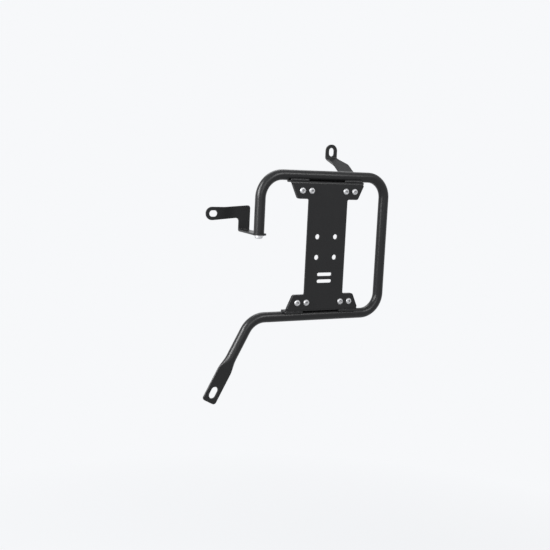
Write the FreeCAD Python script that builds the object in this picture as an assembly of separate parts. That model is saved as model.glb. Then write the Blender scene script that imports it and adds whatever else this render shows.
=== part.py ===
# Pannier frame for the right side of a motorbike, with its bolted front arm and its fasteners.
#
# X points rearwards, Y inwards to the bike and Z up, in millimetres.
# The origin is the middle of the four pannier holes, on the outer face of the backplate.
# A tube is bent to a rounded loop, and its lower front leg is pressed flat and slotted.
# Two folded brackets are stitch-welded inside the loop, and a flared backplate is screwed to them.
# A rear tab is welded on the top run, and a front arm is bolted under the open end of the tube.

import FreeCAD, Part
import math
import os
from FreeCAD import Vector

# Tube loop
tube_od = 18.0
tube_wall = 2.0
loop_width = 250.0
loop_height = 245.0
front_bend_radius = 40.5
rear_bend_radius = 36.0
front_end_z = 22.5

# Lower front leg, measured along it from the corner that it makes with the bottom run
leg_corner_lead = 6.5
leg_bend_radius = 40.0
leg_angle = 62.0
leg_length = 160.0
flat_length = 57.0
pressing_length = 27.0
pressing_steps = 6
pressed_gap = 0.1
leg_corner_radius = 5.0
leg_slot_width = 13.0
leg_slot_length = 21.0
leg_slot_to_end = 18.0

# Backplate
plate_thickness = 3.0
waist_width = 78.0
waist_fillet = 3.0
flare_inner_width = 120.5
flare_outer_width = 148.5
flare_corner_radius = 5.0
flare_edge_radius = 2.0
flare_height = 30.5
pannier_hole_pitch = 36.0
pannier_hole_diameter = 9.0
relief_slot_length = 30.0
relief_slot_height = 6.0
relief_slot_pitch = 12.0
relief_slots_z = -54.0

# Brackets
bracket_thickness = 3.0
fold_radius = 1.5
bracket_overhang = 3.0
bead_radius = 3.4
bead_lift_share = 0.25
outer_bead_start = 36.0
outer_bead_end = 73.0
inner_bead_length = 25.0

# Screws of the backplate
screw_size = 6.0
screw_length = 16.0
screw_head_diameter = 11.0
screw_head_height = 3.3
screw_socket = 4.0
screw_inner_half_pitch = 34.5
screw_outer_half_pitch = 52.5
screw_row_to_seat = 16.5
screw_clearance = 0.3
washer_diameter = 12.0
washer_thickness = 1.6
washer_clearance = 0.2
nut_width = 10.0
nut_height = 5.0
nut_chamfer_angle = 30.0
thread_clearance = 0.05
screw_point_share = 0.125
head_rim_share = 0.3
head_crown_share = 0.62
socket_depth_share = 0.6

# Eyes of the front arm and the rear tab
standoff = 85.5
eye_width = 23.0
eye_slot_width = 11.0
eye_slot_length = 15.5

# Front arm
arm_thickness = 3.0
arm_reach = 57.0
arm_rise = 27.5
arm_under_slope = 0.095
arm_root_width = 21.0
arm_root_shift = 5.0
arm_root_fillet = 6.0
arm_back_rise = 15.5
arm_back_radius = 5.0
arm_top_flat = 24.0
arm_foot_width = 24.0
arm_foot_radius = 11.5

# Bolt of the front arm
arm_bolt_size = 8.0
arm_bolt_length = 22.0
arm_bolt_head_diameter = 14.0
arm_bolt_head_height = 4.4
arm_bolt_socket = 5.0
arm_bolt_clearance = 0.5
arm_washer_diameter = 17.0
arm_washer_thickness = 1.6
bush_length = 22.0
bush_clearance = 0.05

# Rear tab
tab_thickness = 3.0
tab_x = 51.5
tab_rise = 44.5
tab_strip_width = 30.5
tab_strip_shift = 11.8
tab_shoulder_start = 5.0
tab_shoulder_run = 14.0
tab_shoulder_radius = 8.0
tab_bend_z = 31.5
tab_knee_y = 34.0
tab_knee_z = 7.5
tab_bend_radius = 3.0
tab_knee_radius = 12.0
tab_bead_radius = 3.0
tab_bead_margin = 3.0

# Places that follow from the sizes above
tube_radius = tube_od / 2
bore_radius = tube_radius - tube_wall
plate_back = plate_thickness
bracket_back = plate_back + bracket_thickness
tube_y = bracket_back + tube_radius
half_width = loop_width / 2
half_height = loop_height / 2
seat_z = half_height - tube_radius
fold_z = seat_z - bracket_thickness - fold_radius
flare_z = seat_z - flare_height
screw_row_z = seat_z - screw_row_to_seat
screw_places = [
    -screw_outer_half_pitch,
    -screw_inner_half_pitch,
    screw_inner_half_pitch,
    screw_outer_half_pitch,
]
eye_radius = eye_width / 2
same_point = 1e-6

# Signs for the upper and the lower half
ends = {"upper": 1, "lower": -1}

along_x = Vector(1, 0, 0)
along_y = Vector(0, 1, 0)
along_z = Vector(0, 0, 1)


# Flat points are placed in one of the three planes.
def in_xz(u, v, depth):
    return Vector(u, depth, v)


def in_xy(u, v, depth):
    return Vector(u, v, depth)


def in_yz(u, v, depth):
    return Vector(depth, u, v)


# Straight runs joined by tangent arcs, through corners given as (u, v, radius).
def rounded_edges(corners, closed, place, depth):
    count = len(corners)
    entries = []
    for index, (u, v, radius) in enumerate(corners):
        here = Vector(u, v, 0)
        is_end = not closed and index in (0, count - 1)
        if radius == 0 or is_end:
            entries.append((here, here, here))
            continue
        before = Vector(*corners[index - 1][:2], 0) - here
        after = Vector(*corners[(index + 1) % count][:2], 0) - here
        half_turn = before.getAngle(after) / 2
        setback = radius / math.tan(half_turn)
        first = here + before.normalize() * setback
        last = here + after.normalize() * setback
        inward = (before + after).normalize()
        middle = here + inward * (radius / math.sin(half_turn) - radius)
        entries.append((first, middle, last))
    edges = []
    for index, (first, middle, last) in enumerate(entries):
        if first.distanceToPoint(last) > same_point:
            arc_points = [place(p.x, p.y, depth) for p in (first, middle, last)]
            edges.append(Part.Arc(*arc_points).toShape())
        if not closed and index == count - 1:
            break
        start = place(last.x, last.y, depth)
        following = entries[(index + 1) % count][0]
        stop = place(following.x, following.y, depth)
        if start.distanceToPoint(stop) > same_point:
            edges.append(Part.makeLine(start, stop))
    return edges


# A flat outline pulled through a depth.
def prism(corners, place, start, depth):
    face = Part.Face(Part.Wire(rounded_edges(corners, True, place, start)))
    direction = place(0, 0, start + depth) - place(0, 0, start)
    return face.extrude(direction)


# An outline in the XZ plane turned round Z.
def turned(corners):
    face = Part.Face(Part.Wire(rounded_edges(corners, True, in_xz, 0)))
    return face.revolve(Vector(0, 0, 0), along_z, 360)


# The outline of a rectangle, or of a round-ended slot where its corners are at their largest.
def rectangle(centre_u, centre_v, size_u, size_v, radius=0):
    signs = [(-1, -1), (1, -1), (1, 1), (-1, 1)]
    return [(centre_u + su * size_u / 2, centre_v + sv * size_v / 2, radius) for su, sv in signs]


def slot(centre_u, centre_v, size_u, size_v):
    return rectangle(centre_u, centre_v, size_u, size_v, min(size_u, size_v) / 2)


# A folded strip of sheet: its middle line in the YZ plane, with an inside radius at each fold.
def folded_sheet(middle, radii, thickness, start_x, end_x):
    half = thickness / 2
    points = [Vector(y, z, 0) for y, z in middle]
    headings = [(b - a).normalize() for a, b in zip(points[:-1], points[1:])]
    sides = {1: [], -1: []}
    for index, point in enumerate(points):
        heading_in = headings[max(index - 1, 0)]
        heading_out = headings[min(index, len(headings) - 1)]
        normal_in = Vector(-heading_in.y, heading_in.x, 0)
        normal_out = Vector(-heading_out.y, heading_out.x, 0)
        mitre = (normal_in + normal_out) * (half / (1 + normal_in.dot(normal_out)))
        turns_left = heading_in.cross(heading_out).z > 0
        is_fold = 0 < index < len(points) - 1
        for side in sides:
            inside = turns_left == (side == 1)
            radius = 0
            if is_fold:
                radius = radii[index - 1] + (0 if inside else thickness)
            corner = point + mitre * side
            sides[side].append((corner.x, corner.y, radius))
    outline = sides[1] + sides[-1][::-1]
    return prism(outline, in_yz, start_x, end_x - start_x)


# A bar with ball ends along X, from which weld beads are cut.
def bead_bar(start_x, end_x, y, z, radius):
    bar = Part.makeCylinder(radius, end_x - start_x, Vector(start_x, y, z), along_x)
    balls = [Part.makeSphere(radius, Vector(x, y, z)) for x in (start_x, end_x)]
    return bar.fuse(balls).removeSplitter()


def hex_prism(width, height, base, direction):
    corner_radius = width / math.sqrt(3)
    corners = []
    for step in range(6):
        angle = step * math.tau / 6
        corners.append((corner_radius * math.cos(angle), corner_radius * math.sin(angle), 0))
    hexagon = prism(corners, in_xy, 0, height)
    hexagon.Placement = FreeCAD.Placement(base, FreeCAD.Rotation(along_z, direction))
    return hexagon


# Tube loop

leg_radians = math.radians(leg_angle)
leg_along = Vector(-math.cos(leg_radians), 0, -math.sin(leg_radians))
leg_across = Vector(-leg_along.z, 0, leg_along.x)
leg_corner = Vector(-half_width - leg_corner_lead, tube_y, -half_height)
pressing_start = leg_length - flat_length - pressing_length
pressing_end = leg_length - flat_length


def on_leg(distance, across, inward):
    return leg_corner + leg_along * distance + leg_across * across + along_y * inward


def round_run(radius):
    last = on_leg(pressing_start, 0, 0)
    corners = [
        (-half_width, front_end_z, 0),
        (-half_width, half_height, front_bend_radius),
        (half_width, half_height, rear_bend_radius),
        (half_width, -half_height, rear_bend_radius),
        (leg_corner.x, leg_corner.z, leg_bend_radius),
        (last.x, last.z, 0),
    ]
    path = Part.Wire(rounded_edges(corners, False, in_xz, tube_y))
    start = Vector(-half_width, tube_y, front_end_z)
    profile = Part.Wire(Part.makeCircle(radius, start, along_z))
    return path.makePipeShell([profile], True, True)


# Four arcs that pass from a circle (share 0) to a flat with round edges (share 1).
def pressed_section(distance, share, radius, flat_half_width, flat_half_thickness):
    diagonal = radius * math.sqrt(0.5)
    side = radius + (flat_half_width - radius) * share
    top = radius + (flat_half_thickness - radius) * share
    corner_side = diagonal + (flat_half_width - flat_half_thickness - diagonal) * share
    corner_top = diagonal + (flat_half_thickness - diagonal) * share
    edges = []
    ring = [
        ((corner_side, -corner_top), (side, 0), (corner_side, corner_top)),
        ((corner_side, corner_top), (0, top), (-corner_side, corner_top)),
        ((-corner_side, corner_top), (-side, 0), (-corner_side, -corner_top)),
        ((-corner_side, -corner_top), (0, -top), (corner_side, -corner_top)),
    ]
    for number, points in enumerate(ring):
        first, middle, last = [on_leg(distance, across, inward) for across, inward in points]
        if share == 1 and number % 2 == 1:
            edges.append(Part.makeLine(first, last))
        else:
            edges.append(Part.Arc(first, middle, last).toShape())
    return Part.Wire(edges)


def pressed_run(radius, flat_half_width, flat_half_thickness, last_distance):
    sections = []
    for step in range(pressing_steps + 1):
        part_way = step / pressing_steps
        share = part_way * part_way * (3 - 2 * part_way)
        distance = pressing_start + pressing_length * part_way
        sections.append(pressed_section(distance, share, radius, flat_half_width, flat_half_thickness))
    passage = Part.makeLoft(sections, True, False)
    flat = Part.Face(sections[-1]).extrude(leg_along * (last_distance - pressing_end))
    return passage.fuse(flat)


def make_loop_tube():
    flat_half_width = (math.pi * (tube_od - tube_wall) / 2 + tube_wall) / 2
    outer_press = pressed_run(tube_radius, flat_half_width, tube_wall, leg_length)
    end_corners = [
        (0, -tube_od, 0),
        (0, tube_od, 0),
        (pressing_end, tube_od, 0),
        (pressing_end, flat_half_width, 0),
        (leg_length, flat_half_width, leg_corner_radius),
        (leg_length, -flat_half_width, leg_corner_radius),
        (pressing_end, -flat_half_width, 0),
        (pressing_end, -tube_od, 0),
    ]
    outer_press = outer_press.common(prism(end_corners, on_leg, -tube_radius, tube_od))
    cavity_end = pressing_end + tube_wall
    inner_press = pressed_run(bore_radius, flat_half_width - tube_wall, pressed_gap, cavity_end)
    inside = round_run(bore_radius).fuse(inner_press)
    tube = round_run(tube_radius).fuse(outer_press).cut(inside)
    slot_corners = slot(leg_length - leg_slot_to_end, 0, leg_slot_length, leg_slot_width)
    return tube.cut(prism(slot_corners, on_leg, -tube_radius, tube_od))


def make_bush():
    base = Vector(-half_width, tube_y, front_end_z)
    body = Part.makeCylinder(bore_radius - bush_clearance, bush_length, base, along_z)
    thread = Part.makeCylinder(arm_bolt_size / 2 + thread_clearance, bush_length, base, along_z)
    return body.cut(thread)


# Backplate and brackets

def flare_half_width(z):
    share = (z - flare_z) / (seat_z - flare_z)
    return (flare_inner_width + (flare_outer_width - flare_inner_width) * share) / 2


def screw_holes(depth_start, depth):
    holes = []
    for sign in ends.values():
        for x in screw_places:
            centre = Vector(x, depth_start, sign * screw_row_z)
            holes.append(Part.makeCylinder(screw_size / 2 + screw_clearance, depth, centre, along_y))
    return holes


def make_backplate():
    waist = waist_width / 2
    inner = flare_inner_width / 2
    outer = flare_half_width(fold_z)
    quarter = [
        (waist, flare_z, waist_fillet),
        (inner, flare_z, flare_corner_radius),
        (outer, fold_z, flare_edge_radius),
    ]
    upper_right = quarter
    upper_left = [(-x, z, r) for x, z, r in quarter[::-1]]
    lower_left = [(-x, -z, r) for x, z, r in quarter]
    lower_right = [(x, -z, r) for x, z, r in quarter[::-1]]
    plate = prism(upper_right + upper_left + lower_left + lower_right, in_xz, 0, plate_thickness)
    cutters = screw_holes(0, plate_thickness)
    half_pitch = pannier_hole_pitch / 2
    hole_radius = pannier_hole_diameter / 2
    for x in (-half_pitch, half_pitch):
        for z in (-half_pitch, half_pitch):
            cutters.append(Part.makeCylinder(hole_radius, plate_thickness, Vector(x, 0, z), along_y))
    for side in (-1, 1):
        z = relief_slots_z + side * relief_slot_pitch / 2
        corners = slot(0, z, relief_slot_length, relief_slot_height)
        cutters.append(prism(corners, in_xz, 0, plate_thickness))
    return plate.cut(cutters)


def tube_block(radius, length):
    start = Vector(-length / 2, tube_y, half_height)
    return Part.makeCylinder(radius, length, start, along_x)


def make_upper_bracket():
    top = flare_half_width(seat_z)
    face_y = plate_back + bracket_thickness / 2
    flange_z = seat_z - bracket_thickness / 2
    middle = [(face_y, flare_z), (face_y, flange_z), (tube_y + bracket_overhang, flange_z)]
    sheet = folded_sheet(middle, [fold_radius], bracket_thickness, -top, top)
    inner = flare_inner_width / 2
    outline = [
        (-inner, flare_z, flare_corner_radius),
        (inner, flare_z, flare_corner_radius),
        (top, seat_z, 0),
        (-top, seat_z, 0),
    ]
    bracket = sheet.common(prism(outline, in_xz, plate_back, tube_od + bracket_overhang))
    bracket = bracket.cut(screw_holes(plate_back, bracket_thickness))
    bead_y = plate_back + bead_radius + bracket_thickness / 2
    bead_lift = bead_radius * bead_lift_share
    beads = []
    for sign in (-1, 1):
        limits = sorted((sign * (outer_bead_start + bead_radius), sign * (outer_bead_end - bead_radius)))
        beads.append(bead_bar(limits[0], limits[1], bead_y, seat_z + bead_lift, bead_radius))
    inner_reach = inner_bead_length / 2 - bead_radius
    inner_y = tube_y + bracket_overhang
    beads.append(bead_bar(-inner_reach, inner_reach, inner_y, seat_z - bead_lift, bead_radius))
    bracket = bracket.fuse(beads)
    return bracket.cut(tube_block(tube_radius, loop_width)).removeSplitter()


def make_lower_bracket(upper):
    return upper.mirror(Vector(0, 0, 0), along_z)


# Front arm

def make_front_arm():
    foot_z = front_end_z - arm_thickness / 2
    plate_y = standoff - arm_thickness / 2
    eye_x = -half_width - arm_reach
    eye_z = front_end_z + arm_rise
    root_front = -half_width + arm_root_shift - arm_root_width / 2
    root_back = -half_width + arm_root_shift + arm_root_width / 2
    back_z = eye_z + arm_back_rise
    middle = [(plate_y, back_z), (plate_y, foot_z), (0, foot_z)]
    sheet = folded_sheet(middle, [fold_radius], arm_thickness, eye_x - eye_width, root_back)
    split_z = front_end_z + fold_radius
    under_rise = eye_radius * math.hypot(1, arm_under_slope)
    under_front_z = eye_z - under_rise - arm_under_slope * eye_radius
    under_root_z = eye_z - under_rise + arm_under_slope * (root_front - eye_x)
    side_outline = [
        (eye_x - eye_radius, eye_z + eye_radius, eye_radius),
        (eye_x + arm_top_flat, eye_z + eye_radius, 0),
        (root_back, back_z, arm_back_radius),
        (root_back, split_z, 0),
        (root_front, split_z, 0),
        (root_front, under_root_z, arm_root_fillet),
        (eye_x - eye_radius, under_front_z, eye_radius),
    ]
    upright = sheet.common(prism(side_outline, in_xz, 0, standoff))
    end_y = tube_y - arm_foot_width / 2
    foot_half = arm_foot_width / 2
    foot_outline = [
        (root_front, standoff, 0),
        (-half_width - foot_half, end_y, arm_foot_radius),
        (-half_width + foot_half, end_y, arm_foot_radius),
        (root_back, standoff, 0),
    ]
    foot = sheet.common(prism(foot_outline, in_xy, front_end_z - arm_thickness, arm_thickness + fold_radius))
    arm = upright.fuse(foot).removeSplitter()
    slot_x = eye_x + (eye_slot_length - eye_slot_width) / 2
    eye_slot = prism(slot(slot_x, eye_z, eye_slot_length, eye_slot_width), in_xz, 0, standoff)
    hole_base = Vector(-half_width, tube_y, front_end_z - arm_thickness)
    hole = Part.makeCylinder(arm_bolt_size / 2 + arm_bolt_clearance, arm_thickness, hole_base, along_z)
    return arm.cut([eye_slot, hole])


# Rear tab

def make_rear_tab():
    plate_y = standoff - tab_thickness / 2
    eye_z = half_height + tab_rise
    bend_z = half_height + tab_bend_z
    knee = (tube_y + tab_knee_y, half_height + tab_knee_z)
    middle = [(plate_y, eye_z + eye_radius), (plate_y, bend_z), knee, (tube_y, half_height)]
    strip_x = tab_x + tab_strip_shift
    strip_half = tab_strip_width / 2
    left = tab_x - eye_width
    right = strip_x + tab_strip_width
    radii = [tab_bend_radius, tab_knee_radius]
    sheet = folded_sheet(middle, radii, tab_thickness, left, right)
    eye_outline = [
        (tab_x - eye_radius, eye_z + eye_radius, eye_radius),
        (tab_x + eye_radius, eye_z + eye_radius, eye_radius),
        (tab_x + eye_radius, bend_z, 0),
        (right, bend_z, 0),
        (right, 0, 0),
        (left, 0, 0),
        (left, bend_z, 0),
        (tab_x - eye_radius, bend_z, 0),
    ]
    shoulder_y = standoff - tab_shoulder_start
    strip_y = shoulder_y - tab_shoulder_run
    plan_outline = [
        (tab_x - eye_radius, standoff, 0),
        (tab_x - eye_radius, shoulder_y, tab_shoulder_radius),
        (strip_x - strip_half, strip_y, tab_shoulder_radius),
        (strip_x - strip_half, tube_y, 0),
        (strip_x + strip_half, tube_y, 0),
        (strip_x + strip_half, strip_y, tab_shoulder_radius),
        (tab_x + eye_radius, shoulder_y, tab_shoulder_radius),
        (tab_x + eye_radius, standoff, 0),
    ]
    tab = sheet.common(prism(eye_outline, in_xz, 0, standoff))
    tab = tab.common(prism(plan_outline, in_xy, 0, eye_z + eye_width))
    slope = math.atan2(knee[1] - half_height, knee[0] - tube_y)
    touch = tube_radius + tab_bead_radius / 2
    beads = []
    for side in (-1, 1):
        turn = slope + side * (tab_thickness + tab_bead_radius) / 2 / tube_radius
        bead_y = tube_y + touch * math.cos(turn)
        bead_z = half_height + touch * math.sin(turn)
        start = strip_x - strip_half + tab_bead_margin + tab_bead_radius
        stop = strip_x + strip_half - tab_bead_margin - tab_bead_radius
        beads.append(bead_bar(start, stop, bead_y, bead_z, tab_bead_radius))
    tab = tab.fuse(beads).cut(tube_block(tube_radius, loop_width)).removeSplitter()
    slot_z = eye_z - (eye_slot_length - eye_slot_width) / 2
    return tab.cut(prism(slot(tab_x, slot_z, eye_slot_width, eye_slot_length), in_xz, 0, standoff))


# Fasteners, each made at the origin along Z and then placed

def make_screw(size, length, head_diameter, head_height, socket):
    radius = size / 2
    point = size * screw_point_share
    head_radius = head_diameter / 2
    blank = turned([
        (0, -length, 0),
        (radius - point, -length, 0),
        (radius, point - length, 0),
        (radius, 0, 0),
        (head_radius, 0, 0),
        (head_radius, head_height * head_rim_share, 0),
        (head_radius * head_crown_share, head_height, head_height),
        (0, head_height, 0),
    ])
    socket_depth = head_height * socket_depth_share
    return blank.cut(hex_prism(socket, socket_depth, Vector(0, 0, head_height - socket_depth), along_z))


def make_washer(outside, inside, thickness):
    disc = Part.makeCylinder(outside / 2, thickness)
    return disc.cut(Part.makeCylinder(inside / 2, thickness))


def make_nut():
    corner_radius = nut_width / math.sqrt(3)
    drop = (corner_radius - nut_width / 2) * math.tan(math.radians(nut_chamfer_angle))
    chamfered = turned([
        (0, 0, 0),
        (nut_width / 2, 0, 0),
        (corner_radius, drop, 0),
        (corner_radius, nut_height - drop, 0),
        (nut_width / 2, nut_height, 0),
        (0, nut_height, 0),
    ])
    nut = hex_prism(nut_width, nut_height, Vector(0, 0, 0), along_z).common(chamfered)
    bore = Part.makeCylinder(screw_size / 2 + thread_clearance, nut_height)
    return nut.cut(bore)


def placed(shape, base, direction):
    copy = shape.copy()
    copy.Placement = FreeCAD.Placement(base, FreeCAD.Rotation(along_z, direction))
    return copy


def make_plate_fasteners():
    screw = make_screw(screw_size, screw_length, screw_head_diameter, screw_head_height, screw_socket)
    washer = make_washer(washer_diameter, screw_size + 2 * washer_clearance, washer_thickness)
    nut = make_nut()
    pieces = {}
    for end, sign in ends.items():
        for number, x in enumerate(screw_places, start=1):
            z = sign * screw_row_z
            nut_y = bracket_back + washer_thickness
            pieces[f"{end}_screw_{number}"] = placed(screw, Vector(x, 0, z), -along_y)
            pieces[f"{end}_washer_{number}"] = placed(washer, Vector(x, bracket_back, z), along_y)
            pieces[f"{end}_nut_{number}"] = placed(nut, Vector(x, nut_y, z), along_y)
    return pieces


def make_arm_fasteners():
    under_z = front_end_z - arm_thickness
    washer = make_washer(arm_washer_diameter, arm_bolt_size + arm_bolt_clearance, arm_washer_thickness)
    bolt = make_screw(
        arm_bolt_size,
        arm_bolt_length,
        arm_bolt_head_diameter,
        arm_bolt_head_height,
        arm_bolt_socket,
    )
    washer_base = Vector(-half_width, tube_y, under_z)
    bolt_base = Vector(-half_width, tube_y, under_z - arm_washer_thickness)
    return {
        "front_arm_washer": placed(washer, washer_base, -along_z),
        "front_arm_bolt": placed(bolt, bolt_base, -along_z),
    }


def make_all():
    upper = make_upper_bracket()
    pieces = {
        "loop_tube": make_loop_tube(),
        "tube_end_bush": make_bush(),
        "backplate": make_backplate(),
        "upper_bracket": upper,
        "lower_bracket": make_lower_bracket(upper),
        "front_arm": make_front_arm(),
        "rear_tab": make_rear_tab(),
    }
    pieces.update(make_arm_fasteners())
    pieces.update(make_plate_fasteners())
    return pieces


os.makedirs("parts", exist_ok=True)
for name, shape in make_all().items():
    box = shape.BoundBox
    print(name, "solids", len(shape.Solids), "valid", shape.isValid(), "volume", round(shape.Volume, 1),
          "box", [round(v, 1) for v in (box.XMin, box.XMax, box.YMin, box.YMax, box.ZMin, box.ZMax)])
    shape.exportStep(f"parts/{name}.step")
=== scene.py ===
import bmesh
import bpy
import math
from mathutils import Matrix, Vector


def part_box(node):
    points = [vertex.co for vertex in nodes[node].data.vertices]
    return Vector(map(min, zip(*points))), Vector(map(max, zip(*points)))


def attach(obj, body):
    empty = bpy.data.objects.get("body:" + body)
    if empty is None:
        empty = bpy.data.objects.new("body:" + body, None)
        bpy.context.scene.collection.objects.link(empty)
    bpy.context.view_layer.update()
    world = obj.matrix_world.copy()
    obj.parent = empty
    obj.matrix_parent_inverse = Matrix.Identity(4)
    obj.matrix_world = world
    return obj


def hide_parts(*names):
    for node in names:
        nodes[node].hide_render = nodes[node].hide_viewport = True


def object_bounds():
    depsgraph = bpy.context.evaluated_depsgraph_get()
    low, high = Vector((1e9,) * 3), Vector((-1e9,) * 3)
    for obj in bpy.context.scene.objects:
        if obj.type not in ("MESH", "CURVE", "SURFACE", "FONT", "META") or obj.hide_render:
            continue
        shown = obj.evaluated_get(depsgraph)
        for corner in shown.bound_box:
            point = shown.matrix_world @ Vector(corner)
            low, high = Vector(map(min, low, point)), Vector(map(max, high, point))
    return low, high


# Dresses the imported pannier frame: a tube swept round its loop, sheets with softened edges, rippled weld
# beads, threaded screws, a satin black powder coat and bright zinc.
# Everything is in metres, in the part's own frame.

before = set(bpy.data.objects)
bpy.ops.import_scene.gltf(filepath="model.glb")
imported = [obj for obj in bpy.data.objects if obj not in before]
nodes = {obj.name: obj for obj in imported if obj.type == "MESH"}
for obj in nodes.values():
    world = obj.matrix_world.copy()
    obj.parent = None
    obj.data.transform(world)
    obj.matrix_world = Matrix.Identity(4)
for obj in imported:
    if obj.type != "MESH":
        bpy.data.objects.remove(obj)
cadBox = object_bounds()
mm = 0.001
touching = 0.01 * mm


# Camera and stage

camera = {
    "place": (-0.81262, -1.32697, 0.15378),
    "turnDegrees": (82.3994, -2.6899, -27.9342),
    "lens": 58.57,
    "sensor": 36.0,
}

stage = {
    "floorDrop": 0.62,
    "floorSize": 12.0,
    "floorRoughness": 0.9,
    "floorShowsShadow": 0.28,
    "shadowFadeStart": 0.5,
    "shadowFadeEnd": 1.5,
    "backdropColor": (0.930, 0.939, 0.956, 1.0),
    "litFloorColor": (0.52, 0.53, 0.54, 1.0),
    "fillColor": (0.93, 0.96, 1.0, 1.0),
    "fillStrength": 0.45,
}

# Each lamp aims at the part's origin, between its four large holes
lamps = {
    "sideBank": {"place": (-1.60, 0.05, 0.80), "size": (0.5, 1.1), "power": 54.0},
    "sideStrip": {"place": (-1.70, -0.46, 0.37), "size": (0.5, 0.6), "power": 26.0},
    "frontBank": {"place": (0.56, -1.40, 0.98), "size": (0.8, 0.6), "power": 17.0},
    "lensFill": {"place": (-0.44, -1.63, 0.62), "size": (0.8, 0.8), "power": 8.0},
    "rearFill": {"place": (0.30, 1.20, 1.45), "size": (1.2, 1.0), "power": 13.0},
}


def placeCamera():
    data = bpy.data.cameras.new("photoCamera")
    data.lens = camera["lens"]
    data.sensor_width = camera["sensor"]
    data.sensor_fit = "HORIZONTAL"
    data.dof.use_dof = False
    eye = bpy.data.objects.new("photoCamera", data)
    eye.location = camera["place"]
    eye.rotation_euler = [math.radians(a) for a in camera["turnDegrees"]]
    bpy.context.collection.objects.link(eye)
    bpy.context.scene.camera = eye


# 1 where the lens looks, straight, by a reflection or through glass, and 0 for scattered light
def seenByLens(tree):
    path = tree.nodes.new("ShaderNodeLightPath")
    seen = path.outputs["Is Camera Ray"]
    for ray in ("Is Glossy Ray", "Is Transmission Ray"):
        either = tree.nodes.new("ShaderNodeMath")
        either.operation = "MAXIMUM"
        tree.links.new(seen, either.inputs[0])
        tree.links.new(path.outputs[ray], either.inputs[1])
        seen = either.outputs[0]
    return seen


def makeWorld():
    world = bpy.data.worlds.new("studio")
    bpy.context.scene.world = world
    world.use_nodes = True
    tree = world.node_tree
    tree.nodes.clear()
    fill = tree.nodes.new("ShaderNodeBackground")
    fill.inputs["Color"].default_value = stage["fillColor"]
    fill.inputs["Strength"].default_value = stage["fillStrength"]
    shown = tree.nodes.new("ShaderNodeBackground")
    shown.inputs["Color"].default_value = stage["backdropColor"]
    shown.inputs["Strength"].default_value = 1.0
    mix = tree.nodes.new("ShaderNodeMixShader")
    out = tree.nodes.new("ShaderNodeOutputWorld")
    tree.links.new(seenByLens(tree), mix.inputs[0])
    tree.links.new(fill.outputs[0], mix.inputs[1])
    tree.links.new(shown.outputs[0], mix.inputs[2])
    tree.links.new(mix.outputs[0], out.inputs["Surface"])


# The floor glows as pale as the backdrop. Near the part a share of it is lit, and takes the shadow.
def makeFloor():
    material = bpy.data.materials.new("paleFloor")
    material.use_nodes = True
    tree = material.node_tree
    shader = tree.nodes["Principled BSDF"]
    shader.inputs["Base Color"].default_value = stage["litFloorColor"]
    shader.inputs["Roughness"].default_value = stage["floorRoughness"]
    glow = tree.nodes.new("ShaderNodeEmission")
    glow.inputs["Color"].default_value = stage["backdropColor"]
    distance = tree.nodes.new("ShaderNodeVectorMath")
    distance.operation = "LENGTH"
    fade = tree.nodes.new("ShaderNodeMapRange")
    fade.inputs["From Min"].default_value = stage["shadowFadeStart"]
    fade.inputs["From Max"].default_value = stage["shadowFadeEnd"]
    fade.inputs["To Min"].default_value = 1 - stage["floorShowsShadow"]
    share = tree.nodes.new("ShaderNodeMath")
    share.operation = "MULTIPLY"
    mix = tree.nodes.new("ShaderNodeMixShader")
    flat = tree.nodes.new("ShaderNodeVectorMath")
    flat.operation = "MULTIPLY"
    flat.inputs[1].default_value = (1, 1, 0)  # the distance is measured along the floor
    tree.links.new(tree.nodes.new("ShaderNodeTexCoord").outputs["Object"], flat.inputs[0])
    tree.links.new(flat.outputs["Vector"], distance.inputs[0])
    tree.links.new(distance.outputs["Value"], fade.inputs["Value"])
    tree.links.new(fade.outputs["Result"], share.inputs[0])
    tree.links.new(seenByLens(tree), share.inputs[1])
    tree.links.new(share.outputs[0], mix.inputs[0])
    tree.links.new(shader.outputs[0], mix.inputs[1])
    tree.links.new(glow.outputs[0], mix.inputs[2])
    tree.links.new(mix.outputs[0], tree.nodes["Material Output"].inputs["Surface"])
    bm = bmesh.new()
    bmesh.ops.create_grid(bm, x_segments=1, y_segments=1, size=stage["floorSize"] / 2)
    bmesh.ops.translate(bm, verts=bm.verts, vec=(0, 0, cadBox[0].z - stage["floorDrop"]))
    mesh = bpy.data.meshes.new("floor")
    bm.to_mesh(mesh)
    bm.free()
    mesh.materials.append(material)
    floor = bpy.data.objects.new("floor", mesh)
    bpy.context.collection.objects.link(floor)


def makeLamps():
    for name, lamp in lamps.items():
        data = bpy.data.lights.new(name, "AREA")
        data.shape = "RECTANGLE"
        data.size, data.size_y = lamp["size"]
        data.energy = lamp["power"]
        light = bpy.data.objects.new(name, data)
        light.location = lamp["place"]
        light.rotation_euler = (-Vector(lamp["place"])).to_track_quat("-Z", "Y").to_euler()
        bpy.context.collection.objects.link(light)


placeCamera()
makeWorld()
makeFloor()
makeLamps()
bpy.context.scene.view_settings.view_transform = "Standard"
print("camera, floor and lamps are set")


# Finishes

# The stretch of a noise that a finish uses
noiseUse = {"colorFrom": 0.35, "colorTo": 0.68, "roughFrom": 0.3, "roughTo": 0.7}

powderCoat = {
    "dark": (0.0065, 0.0065, 0.0068, 1.0),
    "light": (0.0120, 0.0120, 0.0126, 1.0),
    "roughLow": 0.28,
    "roughHigh": 0.35,
    "specular": 0.20,
    "peelScale": 700.0,
    "peelDetail": 2.0,
    "peelDepth": 0.018 * mm,
    "grainScale": 2400.0,
    "grainDetail": 3.0,
    "grainDepth": 0.010 * mm,
    "cloudScale": 38.0,
    "cloudDetail": 4.0,
}

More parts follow.
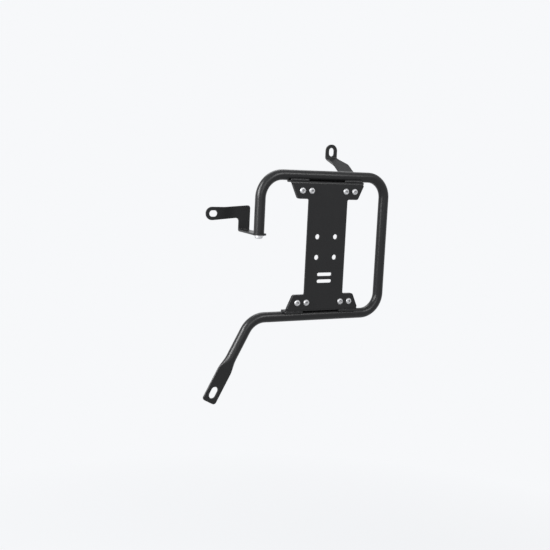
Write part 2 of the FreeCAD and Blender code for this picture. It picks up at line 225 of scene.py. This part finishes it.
brightZinc = {
    "dark": (0.31, 0.312, 0.318, 1.0),
    "light": (0.43, 0.432, 0.44, 1.0),
    "roughLow": 0.52,
    "roughHigh": 0.62,
    "mottleScale": 420.0,
    "mottleDetail": 4.0,
    "scratchScale": 3200.0,
    "scratchDetail": 3.0,
    "scratchDepth": 0.006 * mm,
    "ringsInMillimetre": 3.5,
    "ringDepth": 0.006 * mm,
}

# The arm's bolt and washer take a lighter copy of the plate screws' zinc: painted light, standing in for
# the light their heads catch
armZinc = {
    **brightZinc,
    "dark": (0.52, 0.522, 0.53, 1.0),
    "light": (0.66, 0.662, 0.67, 1.0),
    "roughLow": 0.36,
    "roughHigh": 0.48,
}

turnedSteel = {
    "dark": (0.30, 0.30, 0.31, 1.0),
    "light": (0.52, 0.52, 0.53, 1.0),
    "roughLow": 0.30,
    "roughHigh": 0.48,
    "mottleScale": 260.0,
    "mottleDetail": 4.0,
    "scratchScale": 2400.0,
    "scratchDetail": 3.0,
    "scratchDepth": 0.012 * mm,
    "ringsInMillimetre": 2.5,
    "ringDepth": 0.012 * mm,
}


def newFinish(name):
    material = bpy.data.materials.new(name)
    material.use_nodes = True
    tree = material.node_tree
    return material, tree, tree.nodes["Principled BSDF"]


def noiseAt(tree, place, scale, detail):
    noise = tree.nodes.new("ShaderNodeTexNoise")
    noise.inputs["Scale"].default_value = scale
    noise.inputs["Detail"].default_value = detail
    tree.links.new(place, noise.inputs["Vector"])
    return noise.outputs["Fac"]


def spread(tree, source, low, high):
    span = tree.nodes.new("ShaderNodeMapRange")
    span.inputs["From Min"].default_value = noiseUse["roughFrom"]
    span.inputs["From Max"].default_value = noiseUse["roughTo"]
    span.inputs["To Min"].default_value = low
    span.inputs["To Max"].default_value = high
    tree.links.new(source, span.inputs["Value"])
    return span.outputs["Result"]


def blendColors(tree, source, dark, light):
    ramp = tree.nodes.new("ShaderNodeValToRGB")
    ramp.color_ramp.elements[0].position = noiseUse["colorFrom"]
    ramp.color_ramp.elements[0].color = dark
    ramp.color_ramp.elements[1].position = noiseUse["colorTo"]
    ramp.color_ramp.elements[1].color = light
    tree.links.new(source, ramp.inputs["Fac"])
    return ramp.outputs["Color"]


def bumpFrom(tree, source, depth, under=None):
    bump = tree.nodes.new("ShaderNodeBump")
    bump.inputs["Strength"].default_value = 1.0
    bump.inputs["Distance"].default_value = depth
    tree.links.new(source, bump.inputs["Height"])
    if under is not None:
        tree.links.new(under, bump.inputs["Normal"])
    return bump.outputs["Normal"]


def makePowderCoat():
    material, tree, shader = newFinish("powderCoat")
    coords = tree.nodes.new("ShaderNodeTexCoord").outputs["Object"]
    peel = noiseAt(tree, coords, powderCoat["peelScale"], powderCoat["peelDetail"])
    grain = noiseAt(tree, coords, powderCoat["grainScale"], powderCoat["grainDetail"])
    cloud = noiseAt(tree, coords, powderCoat["cloudScale"], powderCoat["cloudDetail"])
    color = blendColors(tree, grain, powderCoat["dark"], powderCoat["light"])
    rough = spread(tree, cloud, powderCoat["roughLow"], powderCoat["roughHigh"])
    wave = bumpFrom(tree, peel, powderCoat["peelDepth"])
    fine = bumpFrom(tree, grain, powderCoat["grainDepth"], wave)
    tree.links.new(color, shader.inputs["Base Color"])
    tree.links.new(rough, shader.inputs["Roughness"])
    tree.links.new(fine, shader.inputs["Normal"])
    shader.inputs["Specular IOR Level"].default_value = powderCoat["specular"]
    return material


# Fine rings left by turning, from the height and radius that a fastener keeps in its own map
def turnedRings(tree, ringsInMillimetre):
    turned = tree.nodes.new("ShaderNodeUVMap")
    turned.uv_map = "turned"
    parts = tree.nodes.new("ShaderNodeSeparateXYZ")
    tree.links.new(turned.outputs["UV"], parts.inputs[0])
    along = tree.nodes.new("ShaderNodeMath")
    along.operation = "ADD"
    tree.links.new(parts.outputs["X"], along.inputs[0])
    tree.links.new(parts.outputs["Y"], along.inputs[1])
    turns = tree.nodes.new("ShaderNodeMath")
    turns.operation = "MULTIPLY"
    turns.inputs[1].default_value = math.tau * ringsInMillimetre
    tree.links.new(along.outputs[0], turns.inputs[0])
    wave = tree.nodes.new("ShaderNodeMath")
    wave.operation = "SINE"
    tree.links.new(turns.outputs[0], wave.inputs[0])
    return wave.outputs[0]


def makeMetal(name, finish):
    material, tree, shader = newFinish(name)
    coords = tree.nodes.new("ShaderNodeTexCoord").outputs["Object"]
    mottle = noiseAt(tree, coords, finish["mottleScale"], finish["mottleDetail"])
    scratch = noiseAt(tree, coords, finish["scratchScale"], finish["scratchDetail"])
    color = blendColors(tree, mottle, finish["dark"], finish["light"])
    rough = spread(tree, scratch, finish["roughLow"], finish["roughHigh"])
    tree.links.new(color, shader.inputs["Base Color"])
    tree.links.new(rough, shader.inputs["Roughness"])
    rings = bumpFrom(tree, turnedRings(tree, finish["ringsInMillimetre"]), finish["ringDepth"])
    fine = bumpFrom(tree, scratch, finish["scratchDepth"], rings)
    tree.links.new(fine, shader.inputs["Normal"])
    shader.inputs["Metallic"].default_value = 1.0
    return material


coat = makePowderCoat()
zinc = makeMetal("brightZinc", brightZinc)
# Painted light: a lighter copy of the zinc for the arm's bolt and washer
litArmZinc = makeMetal("armZinc", armZinc)
steel = makeMetal("turnedSteel", turnedSteel)
print("finishes are made")


# Pieces

# A skew direction, along which hardly any two faces or edges of a mesh lie level
orderAlong = Vector((1.0, 0.37, 0.61))


# Extruding leaves edges and faces in another order at each run, so they are put in one order.
def putInOrder(bm):
    def place(item):
        return sum((vert.co for vert in item.verts), Vector()).dot(orderAlong) / len(item.verts)
    bm.edges.sort(key=place)
    bm.faces.sort(key=place)


def addPiece(name, bm, finish):
    putInOrder(bm)
    mesh = bpy.data.meshes.new(name)
    bm.to_mesh(mesh)
    bm.free()
    mesh.materials.append(finish)
    piece = bpy.data.objects.new(name, mesh)
    bpy.context.collection.objects.link(piece)
    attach(piece, "root")
    return piece


def smoothBelow(bm, degrees):
    limit = math.radians(degrees)
    for face in bm.faces:
        face.smooth = True
    for edge in bm.edges:
        edge.smooth = len(edge.link_faces) == 2 and edge.calc_face_angle(0.0) < limit


# The free edges of a tube of faces are pulled on.
# place(angle) gives each new point's radius and height.
def pullRing(bm, ring, place):
    pulled = bmesh.ops.extrude_edge_only(bm, edges=ring)["geom"]
    for vert in pulled:
        if isinstance(vert, bmesh.types.BMVert):
            angle = math.atan2(vert.co.y, vert.co.x)
            reach, height = place(angle)
            vert.co = (reach * math.cos(angle), reach * math.sin(angle), height)
    return [edge for edge in pulled if isinstance(edge, bmesh.types.BMEdge)]


# The ring that the others are pulled on from. A face closes it where a shell starts there.
def firstRing(bm, radius, height, closed):
    steps = fasteners["ringSteps"]
    made = bmesh.ops.create_circle(bm, segments=steps, radius=radius, cap_ends=closed)
    bmesh.ops.translate(bm, verts=made["verts"], vec=(0, 0, height))
    return list(bm.edges)


def roundRing(radius, height):
    return lambda angle: (radius, height)


# A hexagon, with half its width across the flats. The slope lowers it towards its corners.
def hexRing(halfWidth, height, slope=0.0):
    def place(angle):
        fromFlat = (angle + math.pi / 6) % (math.pi / 3) - math.pi / 6
        reach = halfWidth / math.cos(fromFlat)
        return reach, height - slope * (reach - halfWidth)
    return place


# Height and radius in millimetres, from which the metal takes its turned rings
def mapRings(bm):
    layer = bm.loops.layers.uv.new("turned")
    for face in bm.faces:
        for loop in face.loops:
            co = loop.vert.co
            loop[layer].uv = (co.z / mm, math.hypot(co.x, co.y) / mm)


# Local Z goes along the given direction, and local X points as nearly outwards as it can.
def turnTo(base, along, outward, twist=0.0):
    along = Vector(along).normalized()
    side = along.cross(Vector(outward)).normalized()
    axes = Matrix((side.cross(along), side, along)).transposed().to_4x4()
    return Matrix.Translation(base) @ axes @ Matrix.Rotation(twist, 4, "Z")


# Square edges are softened as the coat leaves them. Flat faces are made whole first.

softEdges = {
    "mergeDistance": 0.002 * mm,
    "flatAngle": 0.2,
    "radius": 0.35 * mm,
    "segments": 3,
    "squareFrom": 75.0,
    "squareTo": 105.0,
    "smoothBelow": 40.0,
}


def softenEdges(bm):
    bmesh.ops.remove_doubles(bm, verts=bm.verts, dist=softEdges["mergeDistance"])
    flat = math.radians(softEdges["flatAngle"])
    bmesh.ops.dissolve_limit(bm, angle_limit=flat, verts=bm.verts, edges=bm.edges)
    low, high = math.radians(softEdges["squareFrom"]), math.radians(softEdges["squareTo"])
    square = []
    for edge in bm.edges:
        if len(edge.link_faces) == 2 and edge.is_convex and low < edge.calc_face_angle() < high:
            square.append(edge)
    bmesh.ops.bevel(
        bm, geom=square, offset=softEdges["radius"], offset_type="OFFSET", affect="EDGES",
        segments=softEdges["segments"], profile=0.5, material=-1, clamp_overlap=True,
    )
    smoothBelow(bm, softEdges["smoothBelow"])
    return len(square)


def addCoated(name, bm):
    piece = addPiece(name + "Coated", bm, coat)
    normals = piece.modifiers.new("flatFaces", "WEIGHTED_NORMAL")
    normals.keep_sharp = True
    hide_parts(name)


# Sheet pieces, each a copy of its solid

for name in ("backplate", "upper_bracket", "lower_bracket", "front_arm", "rear_tab"):
    bm = bmesh.new()
    bm.from_mesh(nodes[name].data)
    print(name, "has", softenEdges(bm), "softened edges")
    addCoated(name, bm)


# The tube, bent to its loop ring by ring, with its lower leg pressed flat and slotted

loopTube = {
    "radius": 9.0 * mm,
    "wall": 2.0 * mm,
    "halfWidth": 125.0 * mm,
    "halfHeight": 122.5 * mm,
    "depth": 15.0 * mm,
    "openEnd": 22.5 * mm,
    "frontBend": 40.5 * mm,
    "rearBend": 36.0 * mm,
    "legBend": 40.0 * mm,
    "legCornerLead": 6.5 * mm,
    "legAngle": 62.0,
    "legLength": 160.0 * mm,
    "flatLength": 57.0 * mm,
    "flatHalfWidth": 13.566 * mm,
    "pressingLength": 27.0 * mm,
    "pressedGap": 0.1 * mm,
    "endCorner": 5.0 * mm,
    "middleShare": 0.001,
    "slotLength": 21.0 * mm,
    "slotWidth": 13.0 * mm,
    "slotToEnd": 18.0 * mm,
    "slotSteps": 48,
    "ringSteps": 64,
    "degreesInRing": 2.5,
    "pressingSteps": 24,
    "cornerSteps": 8,
}

legTurn = math.radians(loopTube["legAngle"])
legAlong = Vector((-math.cos(legTurn), 0, -math.sin(legTurn)))
legAcross = Vector((-legAlong.z, 0, legAlong.x))
legCorner = Vector(
    (-loopTube["halfWidth"] - loopTube["legCornerLead"], loopTube["depth"], -loopTube["halfHeight"])
)
pressingStart = loopTube["legLength"] - loopTube["flatLength"] - loopTube["pressingLength"]


# A ring of the tube is pulled straight on by the given step, or turned on round a bend's centre.
def runOn(bm, ring, step):
    pulled = bmesh.ops.extrude_edge_only(bm, edges=ring)["geom"]
    bmesh.ops.translate(bm, verts=[g for g in pulled if isinstance(g, bmesh.types.BMVert)], vec=step)
    return [g for g in pulled if isinstance(g, bmesh.types.BMEdge)]


def bendOn(bm, ring, centre, angle):
    verts = list(dict.fromkeys(vert for edge in ring for vert in edge.verts))
    steps = round(abs(math.degrees(angle)) / loopTube["degreesInRing"])
    turned = bmesh.ops.spin(
        bm, geom=verts + ring, cent=centre, axis=(0, 1, 0), angle=angle, steps=steps, use_merge=False,
    )["geom_last"]
    return [g for g in turned if isinstance(g, bmesh.types.BMEdge)]


# A ring on the leg: half circles of the given half height, moved apart to the given half width
def pressOn(bm, ring, distance, halfWidth, halfHeight, turnLayer):
    pulled = bmesh.ops.extrude_edge_only(bm, edges=ring)["geom"]
    for vert in pulled:
        if isinstance(vert, bmesh.types.BMVert):
            side = math.cos(vert[turnLayer])
            inMiddle = abs(side) < loopTube["middleShare"]
            apart = 0.0 if inMiddle else math.copysign(halfWidth - halfHeight, side)
            vert.co = legCorner + legAlong * distance + legAcross * (apart + halfHeight * side)
            vert.co.y += halfHeight * math.sin(vert[turnLayer])
    return [g for g in pulled if isinstance(g, bmesh.types.BMEdge)]


# Sweeps a ring of the tube from its open end, round the loop and down the leg, and closes it.
# The outer and the inner skin are two such sweeps.
def sweepLoop(bm, ring, radius, flatHalfWidth, flatHalfHeight, lastDistance, roundCorners):
    turnLayer = bm.verts.layers.float["turn"]
    right, top, depth = loopTube["halfWidth"], loopTube["halfHeight"], loopTube["depth"]
    front, rear, low = loopTube["frontBend"], loopTube["rearBend"], loopTube["legBend"]
    lead = low * math.tan(legTurn / 2)
    ring = runOn(bm, ring, (0, 0, top - front - loopTube["openEnd"]))
    ring = bendOn(bm, ring, (-right + front, depth, top - front), math.pi / 2)
    ring = runOn(bm, ring, (2 * right - front - rear, 0, 0))
    ring = bendOn(bm, ring, (right - rear, depth, top - rear), math.pi / 2)
    ring = runOn(bm, ring, (0, 0, 2 * rear - 2 * top))
    ring = bendOn(bm, ring, (right - rear, depth, rear - top), math.pi / 2)
    ring = runOn(bm, ring, (legCorner.x + lead - right + rear, 0, 0))
    ring = bendOn(bm, ring, (legCorner.x + lead, depth, -top - low), -legTurn)
    ring = runOn(bm, ring, legAlong * (pressingStart - lead))
    for vert in {vert for edge in ring for vert in edge.verts}:
        fromAxis = vert.co - legCorner
        vert[turnLayer] = math.atan2(fromAxis.y, fromAxis.dot(legAcross))
    for step in range(1, loopTube["pressingSteps"] + 1):
        part = step / loopTube["pressingSteps"]
        share = part * part * (3 - 2 * part)  # an S, level where it starts and ends
        halfWidth = radius + (flatHalfWidth - radius) * share
        halfHeight = radius + (flatHalfHeight - radius) * share
        distance = pressingStart + loopTube["pressingLength"] * part
        ring = pressOn(bm, ring, distance, halfWidth, halfHeight, turnLayer)
    corner = loopTube["endCorner"] if roundCorners else 0.0
    cornerSteps = loopTube["cornerSteps"] if roundCorners else 0
    ring = pressOn(bm, ring, lastDistance - corner, flatHalfWidth, flatHalfHeight, turnLayer)
    for step in range(1, cornerSteps + 1):
        turn = math.pi / 2 * step / cornerSteps
        distance = lastDistance - corner * (1 - math.sin(turn))
        halfWidth = flatHalfWidth - corner * (1 - math.cos(turn))
        ring = pressOn(bm, ring, distance, halfWidth, flatHalfHeight, turnLayer)
    bmesh.ops.holes_fill(bm, edges=ring, sides=0)


def makeSlotCutter():
    bm = bmesh.new()
    radius = loopTube["slotWidth"] / 2
    steps = loopTube["slotSteps"]
    circle = bmesh.ops.create_circle(bm, cap_ends=True, segments=steps, radius=radius)["verts"]
    apart = (loopTube["slotLength"] - loopTube["slotWidth"]) / 2
    for vert in circle:
        vert.co.x += math.copysign(apart, vert.co.x) if abs(vert.co.x) > touching else 0.0
    pulled = bmesh.ops.extrude_face_region(bm, geom=list(bm.faces))["geom"]
    bmesh.ops.translate(bm, verts=circle, vec=(0, 0, -loopTube["radius"]))
    risen = [g for g in pulled if isinstance(g, bmesh.types.BMVert)]
    bmesh.ops.translate(bm, verts=risen, vec=(0, 0, loopTube["radius"]))
    bmesh.ops.recalc_face_normals(bm, faces=bm.faces)
    centre = legCorner + legAlong * (loopTube["legLength"] - loopTube["slotToEnd"])
    axes = Matrix((legAlong, legAcross, legAlong.cross(legAcross))).transposed().to_4x4()
    bmesh.ops.transform(bm, matrix=Matrix.Translation(centre) @ axes, verts=bm.verts)
    return bm


def looseObject(name, bm):
    putInOrder(bm)
    mesh = bpy.data.meshes.new(name)
    bm.to_mesh(mesh)
    bm.free()
    loose = bpy.data.objects.new(name, mesh)
    bpy.context.collection.objects.link(loose)
    return loose


# Both skins grow from one ring at the open end, and the leg's slot is cut last
def makeLoopTube():
    bm = bmesh.new()
    bm.verts.layers.float.new("turn")
    wall, radius = loopTube["wall"], loopTube["radius"]  # the pressed leg is two walls thick
    flatHalf = loopTube["flatHalfWidth"]
    cavityEnd = pressingStart + loopTube["pressingLength"] + wall
    bmesh.ops.create_circle(bm, segments=loopTube["ringSteps"], radius=radius)
    outer = list(bm.edges)
    inner = runOn(bm, outer, (0, 0, 0))
    bore = list(dict.fromkeys(vert for edge in inner for vert in edge.verts))
    narrower = 1 - wall / radius
    bmesh.ops.scale(bm, verts=bore, vec=(narrower, narrower, 1))
    openEnd = Vector((-loopTube["halfWidth"], loopTube["depth"], loopTube["openEnd"]))
    bmesh.ops.translate(bm, verts=bm.verts, vec=openEnd)
    sweepLoop(bm, outer, radius, flatHalf, wall, loopTube["legLength"], True)
    sweepLoop(bm, inner, radius - wall, flatHalf - wall, loopTube["pressedGap"], cavityEnd, False)
    bmesh.ops.recalc_face_normals(bm, faces=bm.faces)
    bm.verts.layers.float.remove(bm.verts.layers.float["turn"])
    solid = looseObject("tubeBlank", bm)
    cutter = looseObject("slotCutter", makeSlotCutter())
    cut = solid.modifiers.new("slot", "BOOLEAN")
    cut.operation = "DIFFERENCE"
    cut.object = cutter
    slotted = solid.evaluated_get(bpy.context.evaluated_depsgraph_get())
    finished = bpy.data.meshes.new_from_object(slotted)
    bm = bmesh.new()
    bm.from_mesh(finished)
    bpy.data.meshes.remove(finished)
    for loose in (solid, cutter):
        mesh = loose.data
        bpy.data.objects.remove(loose)
        bpy.data.meshes.remove(mesh)
    print("loop_tube has", softenEdges(bm), "softened edges")
    return bm


addCoated("loop_tube", makeLoopTube())


# Fasteners: button head screws with a cut thread and a hexagon socket, washers and nuts

fasteners = {
    "ringSteps": 48,
    "domeSteps": 7,
    "threadSteps": 24,
    "threadDepthShare": 0.56,
    "crestShare": 0.45,
    "ridgeShare": 0.9,
    "coreProud": 0.03 * mm,
    "edge": 0.2 * mm,
    "pointShare": 0.1,
    "socketMouth": 0.25 * mm,
    "drillSlope": 0.6,
    "drillMouthShare": 0.9,
    "drillPointShare": 0.1,
    "punchedSteps": 4,
    "smoothBelow": 33.0,
    "turnBetween": 0.7,
    "turnBehind": 3,  # how many times as far as its screw a washer or nut is turned
}

plateScrew = {
    "size": 6.0 * mm,
    "length": 16.0 * mm,
    "pitch": 1.0 * mm,
    "threadLength": 10.5 * mm,
    "headDiameter": 11.0 * mm,
    "headHeight": 3.3 * mm,
    "rimHeight": 0.75 * mm,
    "crownDiameter": 6.3 * mm,
    "socket": 4.0 * mm,
    "socketDepth": 2.1 * mm,
}

armBolt = {
    "size": 8.0 * mm,
    "length": 22.0 * mm,
    "pitch": 1.25 * mm,
    "threadLength": 17.0 * mm,
    "headDiameter": 14.0 * mm,
    "headHeight": 4.4 * mm,
    "rimHeight": 1.0 * mm,
    "crownDiameter": 8.0 * mm,
    "socket": 5.0 * mm,
    "socketDepth": 2.7 * mm,
}

plateNut = {
    "width": 10.0 * mm,
    "height": 5.0 * mm,
    "bore": 6.1 * mm,
    "countersink": 7.0 * mm,
    "faceShare": 0.95,
    "chamferAngle": 30.0,
    "cornerRadius": 0.25 * mm,
    "cornerSegments": 2,
}

plateWasher = {
    "outside": 12.0 * mm,
    "inside": 6.4 * mm,
    "thickness": 1.6 * mm,
    "punchedEdge": 0.45 * mm,
}

armWasher = {
    "outside": 17.0 * mm,
    "inside": 8.5 * mm,
    "thickness": 1.6 * mm,
    "punchedEdge": 0.5 * mm,
}


# A ridge wound round the core, which fades out at both ends
def addThread(bm, spec, low, high):
    crest = spec["size"] / 2
    pitch = spec["pitch"]
    root = crest - pitch * fasteners["threadDepthShare"]
    crestHeight = low + fasteners["crestShare"] * pitch
    section = [(root, low), (crest, crestHeight), (root, low + fasteners["ridgeShare"] * pitch)]
    verts = [bm.verts.new((radius, 0, height)) for radius, height in section]
    edges = [bm.edges.new((verts[i], verts[(i + 1) % 3])) for i in range(3)]
    steps = int(fasteners["threadSteps"] * (high - low) / pitch - fasteners["threadSteps"])
    turn = math.tau / fasteners["threadSteps"]
    rise = pitch / fasteners["threadSteps"]
    bmesh.ops.spin(
        bm, geom=verts + edges, cent=(0, 0, 0), axis=(0, 0, 1), dvec=(0, 0, rise),
        angle=turn * steps, steps=steps, use_merge=False,
    )
    for vert in bm.verts:
        reach = math.hypot(vert.co.x, vert.co.y)
        if reach > (root + crest) / 2:
            fromEnd = min(vert.co.z - low, high - vert.co.z) / pitch
            wanted = root + (crest - root) * min(1.0, max(0.0, fromEnd))
            vert.co.x *= wanted / reach
            vert.co.y *= wanted / reach
    bmesh.ops.holes_fill(bm, edges=[e for e in bm.edges if e.is_boundary], sides=3)


# The core and head are one shell, and the thread's ridge stands in it as another.
def makeScrew(spec):
    bm = bmesh.new()
    threadTop = spec["threadLength"] - spec["length"]
    addThread(bm, spec, -spec["length"], threadTop)
    body = bmesh.new()
    root = spec["size"] / 2 - spec["pitch"] * fasteners["threadDepthShare"]
    core = root + fasteners["coreProud"]
    point = spec["size"] * fasteners["pointShare"]
    edge = fasteners["edge"]
    shank = spec["size"] / 2
    rim = spec["headDiameter"] / 2
    crown = spec["crownDiameter"] / 2
    top = spec["headHeight"]
    half = spec["socket"] / 2
    mouth = 2 * half / math.sqrt(3) + fasteners["socketMouth"]
    ring = firstRing(body, core - point, -spec["length"], True)
    places = [roundRing(core, point - spec["length"]), roundRing(core, threadTop)]
    places += [roundRing(shank, threadTop + edge), roundRing(shank, 0)]
    places += [roundRing(rim - edge, 0), roundRing(rim, edge)]
    for step in range(fasteners["domeSteps"] + 1):
        turn = math.pi / 2 * step / fasteners["domeSteps"]
        reach = crown + (rim - crown) * math.cos(turn)
        places.append(roundRing(reach, spec["rimHeight"] + (top - spec["rimHeight"]) * math.sin(turn)))
    floor = top - spec["socketDepth"]
    places += [roundRing(mouth, top), hexRing(half, top - fasteners["socketMouth"])]
    places += [hexRing(half, floor), roundRing(half * fasteners["drillMouthShare"], floor)]
    drilled = floor - half * fasteners["drillSlope"]
    places += [roundRing(half * fasteners["drillPointShare"], drilled)]
    for place in places:
        ring = pullRing(body, ring, place)
    bmesh.ops.holes_fill(body, edges=ring, sides=0)
    spare = bpy.data.meshes.new("spare")
    body.to_mesh(spare)
    body.free()
    bm.from_mesh(spare)
    bpy.data.meshes.remove(spare)
    return bm


def makeWasher(spec):
    bm = bmesh.new()
    inside = spec["inside"] / 2
    outside = spec["outside"] / 2
    thickness = spec["thickness"]
    edge = fasteners["edge"]
    punched = spec["punchedEdge"]
    first = firstRing(bm, inside, edge, False)
    ring = first
    places = [roundRing(inside + edge, 0), roundRing(outside - edge, 0), roundRing(outside, edge)]
    for step in range(fasteners["punchedSteps"]):
        turn = math.pi / 2 * step / (fasteners["punchedSteps"] - 1)
        reach = outside - punched + punched * math.cos(turn)
        places.append(roundRing(reach, thickness - punched + punched * math.sin(turn)))
    places += [roundRing(inside + edge, thickness), roundRing(inside, thickness - edge)]
    for place in places:
        ring = pullRing(bm, ring, place)
    bmesh.ops.bridge_loops(bm, edges=first + ring)
    return bm


def makeNut(spec):
    bm = bmesh.new()
    half = spec["width"] / 2
    height = spec["height"]
    bore = spec["bore"] / 2
    sink = spec["countersink"] / 2
    face = half * spec["faceShare"]
    slope = math.tan(math.radians(spec["chamferAngle"]))
    drop = (half - face) * slope
    first = firstRing(bm, bore, sink - bore, False)
    ring = first
    places = [roundRing(sink, 0), roundRing(face, 0)]
    places += [hexRing(half, drop, -slope), hexRing(half, height - drop, slope)]
    places += [roundRing(face, height), roundRing(sink, height)]
    places += [roundRing(bore, height + bore - sink)]
    for place in places:
        ring = pullRing(bm, ring, place)
    bmesh.ops.bridge_loops(bm, edges=first + ring)
    corner = half / math.cos(math.pi / 6)
    upright = []
    for edge in bm.edges:
        ends = [math.hypot(v.co.x, v.co.y) for v in edge.verts]
        rises = abs(edge.verts[0].co.z - edge.verts[1].co.z) > height / 2
        if rises and min(ends) > corner - touching:
            upright.append(edge)
    bmesh.ops.bevel(
        bm, geom=upright, offset=spec["cornerRadius"], offset_type="OFFSET", affect="EDGES",
        segments=spec["cornerSegments"], profile=0.5, material=-1,
    )
    return bm


def addFastener(node, bm, matrix, finish=zinc):
    bmesh.ops.recalc_face_normals(bm, faces=bm.faces)
    mapRings(bm)
    smoothBelow(bm, fasteners["smoothBelow"])
    bmesh.ops.transform(bm, matrix=matrix, verts=bm.verts)
    piece = addPiece(node + "Cut", bm, finish)
    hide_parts(node)


for end in ("upper", "lower"):
    for number in range(1, 5):
        twist = number * fasteners["turnBetween"]
        low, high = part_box(f"{end}_screw_{number}")
        centre = (low + high) / 2
        seat = Vector((centre.x, low.y + plateScrew["headHeight"], centre.z))
        matrix = turnTo(seat, (0, -1, 0), (0, 0, 1), twist)
        addFastener(f"{end}_screw_{number}", makeScrew(plateScrew), matrix)
        for kind, spec, make in (("washer", plateWasher, makeWasher), ("nut", plateNut, makeNut)):
            low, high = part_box(f"{end}_{kind}_{number}")
            seat = Vector((centre.x, low.y, centre.z))
            matrix = turnTo(seat, (0, 1, 0), (0, 0, 1), fasteners["turnBehind"] * twist)
            addFastener(f"{end}_{kind}_{number}", make(spec), matrix)

# The arm's bolt and washer take the lighter zinc, which is painted light
armFasteners = (("front_arm_bolt", armBolt, makeScrew), ("front_arm_washer", armWasher, makeWasher))
for node, spec, make in armFasteners:
    low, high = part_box(node)
    centre = (low + high) / 2
    seatHeight = low.z + spec["headHeight"] if "headHeight" in spec else high.z
    matrix = turnTo(Vector((centre.x, centre.y, seatHeight)), (0, 0, -1), (0, -1, 0))
    addFastener(node, make(spec), matrix, litArmZinc)
print("screws, washers and nuts are made")


# Weld beads, with the ripples that the coat leaves showing

beads = {
    "proud": 0.05 * mm,
    "ripple": 0.28 * mm,
    "ripplePitch": 2.4 * mm,
    "ringsInRipple": 10,
    "bow": 1.8 * mm,
    "waver": 0.14 * mm,
    "waverLength": 6.1 * mm,
    "uneven": 0.35,
    "unevenLength": 9.7 * mm,
    "tip": 0.05 * mm,
    "tipShare": 0.1,
    "smoothBelow": 60.0,
    "bracketRadius": 3.4 * mm,
    "bracketLift": 0.85 * mm,
    "bracketDepth": 7.9 * mm,
    "bracketStart": 36.0 * mm,
    "bracketEnd": 73.0 * mm,
    "bracketLean": 0.4,
    "rearPhase": 0.3,
    "frontPhase": 0.8,
    "innerDepth": 18.0 * mm,
    "innerHalf": 12.5 * mm,
    "innerPhase": 0.1,
    "tabRadius": 3.0 * mm,
    "tabStart": 51.05 * mm,
    "tabEnd": 75.55 * mm,
    "tabSlope": math.atan2(7.5, 34.0),
    "tabHalfTurn": 1 / 3,
    "tabPhase": 0.5,
}


def makeBead(radius, length, phase):
    bm = bmesh.new()
    pitch = beads["ripplePitch"]
    count = int(length / pitch * beads["ringsInRipple"])

    def ringAt(station):
        fromEnd = min(station, length - station)
        inCap = max(0.0, radius - fromEnd) / radius
        cap = math.sqrt(max(0.0, 1 - inCap * inCap))
        waver = beads["waver"] * math.sin(math.tau * station / beads["waverLength"] + phase)

        def place(angle):
            uneven = beads["uneven"] * math.sin(math.tau * station / beads["unevenLength"] + 2 * phase)
            part = (station + beads["bow"] * math.cos(angle)) / pitch + uneven + phase
            ripple = beads["ripple"] * (1 - math.cos(math.tau * part)) / 2
            return (radius + beads["proud"] + ripple + waver) * cap, station
        return place

    tip = beads["tip"]
    ring = firstRing(bm, radius * beads["tipShare"], tip, True)
    for step in range(1, count):
        ring = pullRing(bm, ring, ringAt(tip + (length - 2 * tip) * step / count))
    bmesh.ops.holes_fill(bm, edges=ring, sides=0)
    return bm


def addBead(name, start, length, radius, outward, phase):
    bm = makeBead(radius, length, phase)
    bmesh.ops.recalc_face_normals(bm, faces=bm.faces)
    smoothBelow(bm, beads["smoothBelow"])
    bmesh.ops.transform(bm, matrix=turnTo(start, (1, 0, 0), outward), verts=bm.verts)
    addPiece(name, bm, coat)


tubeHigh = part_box("loop_tube")[1]
tubeRadius = loopTube["radius"]
tubeHeight = tubeHigh.z - tubeRadius
tubeDepth = tubeHigh.y - tubeRadius
bracketHeight = tubeHeight - tubeRadius
radius = beads["bracketRadius"]
outerLength = beads["bracketEnd"] - beads["bracketStart"]
innerLength = 2 * beads["innerHalf"]
for end, sign in (("upper", 1), ("lower", -1)):
    outerZ = sign * (bracketHeight + beads["bracketLift"])
    innerZ = sign * (bracketHeight - beads["bracketLift"])
    rear = Vector((beads["bracketStart"], beads["bracketDepth"], outerZ))
    front = Vector((-beads["bracketEnd"], beads["bracketDepth"], outerZ))
    inner = Vector((-beads["innerHalf"], beads["innerDepth"], innerZ))
    outward = Vector((0, -1, beads["bracketLean"] * sign))
    addBead(end + "RearBead", rear, outerLength, radius, outward, beads["rearPhase"] + sign)
    addBead(end + "FrontBead", front, outerLength, radius, outward, beads["frontPhase"] + sign)
    addBead(end + "InnerBead", inner, innerLength, radius, -outward, beads["innerPhase"] + sign)
for name, side in (("tabOverBead", 1), ("tabUnderBead", -1)):
    turn = beads["tabSlope"] + side * beads["tabHalfTurn"]
    reach = tubeRadius + beads["tabRadius"] / 2
    startDepth = tubeDepth + reach * math.cos(turn)
    start = Vector((beads["tabStart"], startDepth, tubeHeight + reach * math.sin(turn)))
    outward = (0, -side * math.sin(beads["tabSlope"]), side * math.cos(beads["tabSlope"]))
    length = beads["tabEnd"] - beads["tabStart"]
    addBead(name, start, length, beads["tabRadius"], outward, beads["tabPhase"] * side)
print("weld beads are made")


# The bush inside the tube stays the solid itself

for materialSlot in nodes["tube_end_bush"].material_slots:
    materialSlot.material = steel
print("the bush is finished")
